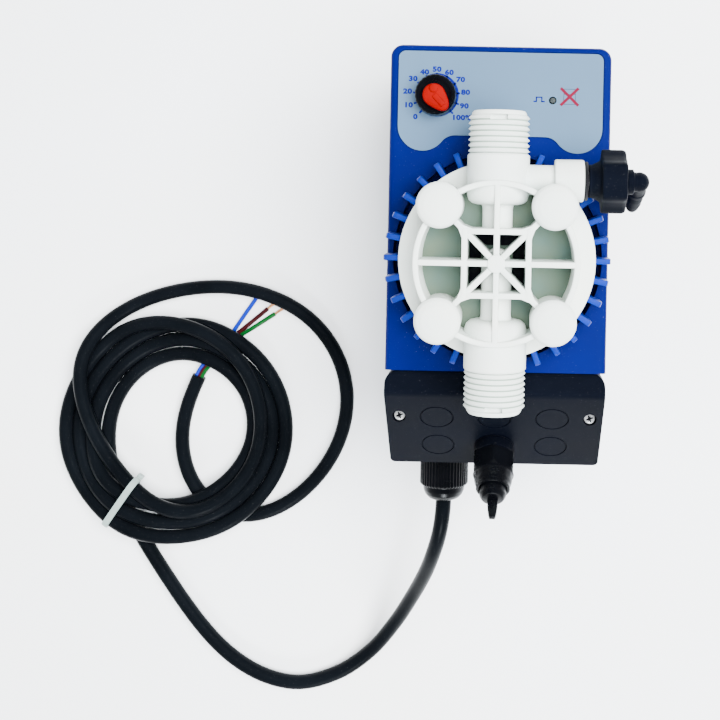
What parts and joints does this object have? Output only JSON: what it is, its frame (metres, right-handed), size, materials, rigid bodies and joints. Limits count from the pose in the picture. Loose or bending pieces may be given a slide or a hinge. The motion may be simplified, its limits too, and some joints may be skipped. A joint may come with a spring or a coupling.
{
  "type": "diaphragm dosing pump",
  "caption": "Solenoid-driven diaphragm dosing pump with a finned housing, a ribbed pump head, a rate dial, a priming valve, a terminal cover and a coiled mains lead.",
  "frame": {"origin": "centre of the wall bracket's rear face, which lies on the table", "axes": "+Z out of the pump's front, +Y to its discharge port, +X to its priming knob"},
  "size_m": [0.3312, 0.3727, 0.1884],
  "materials": {
    "blue_plastic": "satin moulded glass-filled polypropylene",
    "black_plastic": "fine-textured moulded plastic",
    "white_plastic": "satin moulded fluoropolymer",
    "label_film": "fine-textured printed film",
    "red_plastic": "satin",
    "lamp_lens": "clear-moulded, unlit",
    "steel": "turned and zinc plated",
    "copper": "enamelled copper winding",
    "board": "solder-masked board",
    "rubber": "matt",
    "ptfe": "waxy",
    "ceramic": "polished ceramic",
    "cord_jacket": "glossy flexible PVC",
    "tie_nylon": "milky translucent nylon",
    "blue_wire": "glossy PVC insulation",
    "brown_wire": "glossy PVC insulation",
    "green_wire": "glossy PVC insulation"
  },
  "bodies": {
    "pump": {"wall_bracket": "black_plastic", "back_cover": "black_plastic", "potentiometer": "black_plastic", "coil_bobbin": "black_plastic", "diaphragm_support": "black_plastic", "head_insert": "black_plastic", "terminal_cover": "black_plastic", "mains_gland_body": "black_plastic", "mains_gland_nut": "black_plastic", "signal_gland_body": "black_plastic", "signal_gland_nut": "black_plastic", "blanking_plug": "black_plastic", "housing": "blue_plastic", "cooling_ring": "blue_plastic", "label_panel": "label_film", "indicator_lamp": "lamp_lens", "solenoid_can": "steel", "solenoid_pole": "steel", "return_spring": "steel", "head_screw_1": "steel", "head_screw_2": "steel", "head_screw_3": "steel", "head_screw_4": "steel", "cover_screw_left": "steel", "cover_screw_right": "steel", "circuit_board": "board", "coil_winding": "copper", "pump_head": "white_plastic", "screw_cap_1": "white_plastic", "screw_cap_2": "white_plastic", "screw_cap_3": "white_plastic", "screw_cap_4": "white_plastic", "suction_valve_seat": "white_plastic", "discharge_valve_seat": "white_plastic", "suction_valve_cage": "white_plastic", "discharge_valve_cage": "white_plastic", "terminal_block": "white_plastic", "suction_o_ring": "rubber", "discharge_o_ring": "rubber", "priming_collar": "rubber", "mains_lead": "cord_jacket", "cord_coil": "cord_jacket", "cord_loop": "cord_jacket", "cord_tail": "cord_jacket", "cable_tie": "tie_nylon", "blue_wire": "blue_wire", "brown_wire": "brown_wire", "green_wire": "green_wire"},
    "plunger": {"armature": "steel", "push_rod": "steel", "diaphragm": "ptfe"},
    "suction_ball": {"suction_ball": "ceramic"},
    "discharge_ball": {"discharge_ball": "ceramic"},
    "speed_dial": {"dial_knob": "black_plastic", "dial_pointer": "red_plastic", "dial_shaft": "steel"},
    "priming_carriage": {"priming_clip_ring": "steel"},
    "priming_knob": {"priming_knob": "black_plastic", "priming_stem": "white_plastic"},
    "priming_elbow": {"priming_elbow": "black_plastic"}
  },
  "joints": [
    {"name": "plunger_stroke", "type": "slide", "parent": "pump", "child": "plunger", "axis": [0, 0, 1], "range_m": [0, 0.00125], "stiffness_N_per_m": 4000, "springref_m": -0.002, "deforming": ["return_spring"]},
    {"name": "suction_ball_lift", "type": "slide", "parent": "pump", "child": "suction_ball", "axis": [0, 1, 0], "range_m": [0, 0.0025]},
    {"name": "discharge_ball_lift", "type": "slide", "parent": "pump", "child": "discharge_ball", "axis": [0, 1, 0], "range_m": [0, 0.0025]},
    {"name": "dial_turn", "type": "hinge", "parent": "pump", "child": "speed_dial", "pos_m": [-0.031, 0.0806, 0.14], "axis": [0, 0, 1], "range_deg": [0, 270]},
    {"name": "priming_lift", "type": "slide", "parent": "pump", "child": "priming_carriage", "axis": [1, 0, 0], "range_m": [0, 0.0015]},
    {"name": "priming_turn", "type": "hinge", "parent": "priming_carriage", "child": "priming_knob", "pos_m": [0, 0.0406, 0.17], "axis": [1, 0, 0], "range_deg": [0, 360]},
    {"name": "elbow_swivel", "type": "hinge", "parent": "priming_carriage", "child": "priming_elbow", "pos_m": [0, 0.0406, 0.17], "axis": [1, 0, 0], "continuous": true}
  ],
  "couplings": [
    {"joint": "priming_lift", "follows": "priming_turn", "m_per_rad": 0.00023873}
  ]
}
